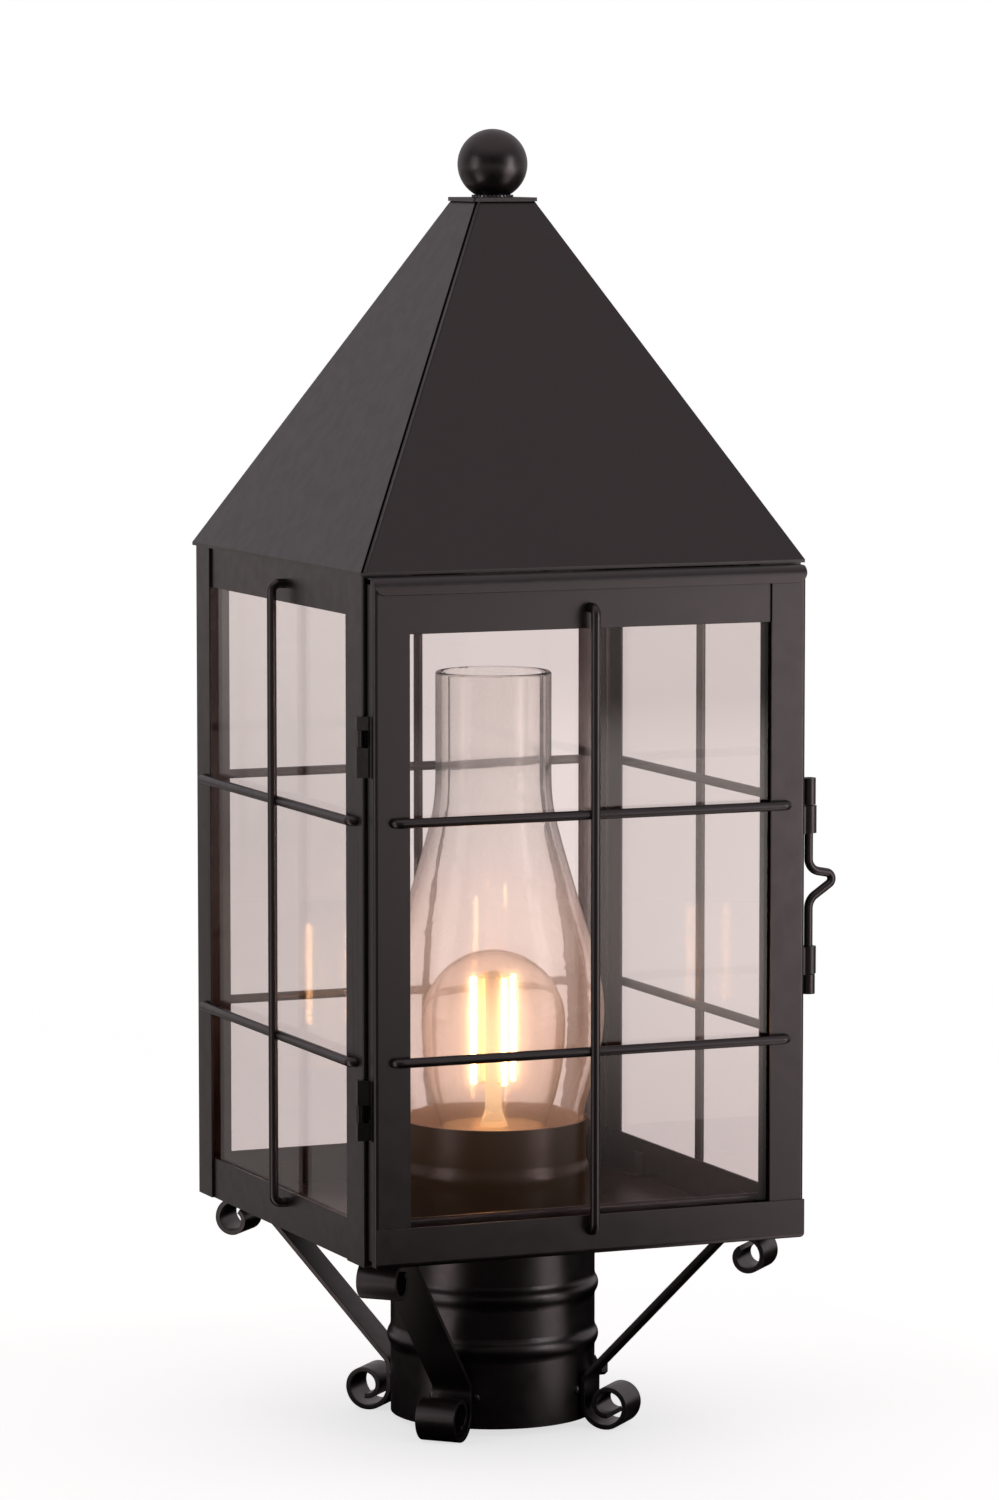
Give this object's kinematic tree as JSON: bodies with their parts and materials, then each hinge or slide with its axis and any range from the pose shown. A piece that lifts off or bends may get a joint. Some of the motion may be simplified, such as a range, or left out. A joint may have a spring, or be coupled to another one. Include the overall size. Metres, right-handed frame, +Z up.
{
  "type": "victorian street lantern",
  "caption": "Square post-top lantern with clear panes, hipped roof, ball finial, hinged door with wire latch, and scroll brackets round a fitter.",
  "frame": {"origin": "on the post's axis at the fitter's open lower end", "axes": "+Z up along the post to the ball; -Y towards the door; +X towards the latch"},
  "size_m": [0.1976, 0.1976, 0.4995],
  "materials": {
    "black_paint": "satin black paint on sheet steel",
    "pane_glass": "clear float glass",
    "chimney_glass": "clear blown glass",
    "bulb_glass": "clear lamp glass",
    "bulb_stem": "clear glass stem, lit yellow",
    "filament": "glowing filament",
    "porcelain": "glazed lamp holder body",
    "lamp_brass": "plain brass",
    "steel_hardware": "zinc plated steel",
    "clip_steel": "satin black paint on thin steel"
  },
  "bodies": {
    "body": {"bottom_rail_back": "black_paint", "bottom_rail_left": "black_paint", "bottom_rail_right": "black_paint", "bulb_filaments": "filament", "bulb_glass": "bulb_glass", "bulb_stem": "bulb_stem", "chimney_glass": "chimney_glass", "chimney_holder": "black_paint", "corner_post_back_left": "black_paint", "corner_post_back_right": "black_paint", "corner_post_front_left": "black_paint", "corner_post_front_right": "black_paint", "finial_ball": "black_paint", "finial_nut": "steel_hardware", "finial_stud": "steel_hardware", "fitter_nuts": "steel_hardware", "floor_plate": "black_paint", "front_sill": "black_paint", "glass_back": "pane_glass", "glass_clips_body": "clip_steel", "glass_left": "pane_glass", "glass_right": "pane_glass", "guard_levels_back": "black_paint", "guard_levels_left": "black_paint", "guard_levels_right": "black_paint", "guard_upright_back": "black_paint", "guard_upright_left": "black_paint", "guard_upright_right": "black_paint", "hinge_frame_leaves": "black_paint", "hinge_pins": "steel_hardware", "lamp_cap": "lamp_brass", "lamp_collar": "lamp_brass", "lamp_locknut": "steel_hardware", "lamp_nipple": "steel_hardware", "lamp_socket": "porcelain", "latch_keepers": "black_paint", "post_fitter": "black_paint", "roof_back_sheet": "black_paint", "roof_cap_plate": "black_paint", "roof_front_sheet": "black_paint", "scroll_bracket_back_left": "black_paint", "scroll_bracket_back_right": "black_paint", "scroll_bracket_front_left": "black_paint", "scroll_bracket_front_right": "black_paint", "set_screws": "steel_hardware", "socket_shell": "lamp_brass", "top_rail_back": "black_paint", "top_rail_left": "black_paint", "top_rail_right": "black_paint"},
    "door": {"door_bottom_rail": "black_paint", "door_frame": "black_paint", "door_glass": "pane_glass", "door_glass_clips": "clip_steel", "door_top_cap": "black_paint", "door_top_rail": "black_paint", "guard_levels_door": "black_paint", "guard_upright_door": "black_paint", "hinge_door_leaves": "black_paint", "latch_sleeves": "black_paint"},
    "latch": {"latch_wire": "black_paint"}
  },
  "joints": [
    {"name": "door_hinge", "type": "hinge", "parent": "body", "child": "door", "pos_m": [-0.0906, -0.08975, 0.2], "axis": [0, 0, -1], "range_deg": [0, 150]},
    {"name": "latch_swivel", "type": "hinge", "parent": "door", "child": "latch", "pos_m": [0.0915, -0.0913, 0.21], "axis": [0, 0, 1], "range_deg": [-90, 85]}
  ]
}
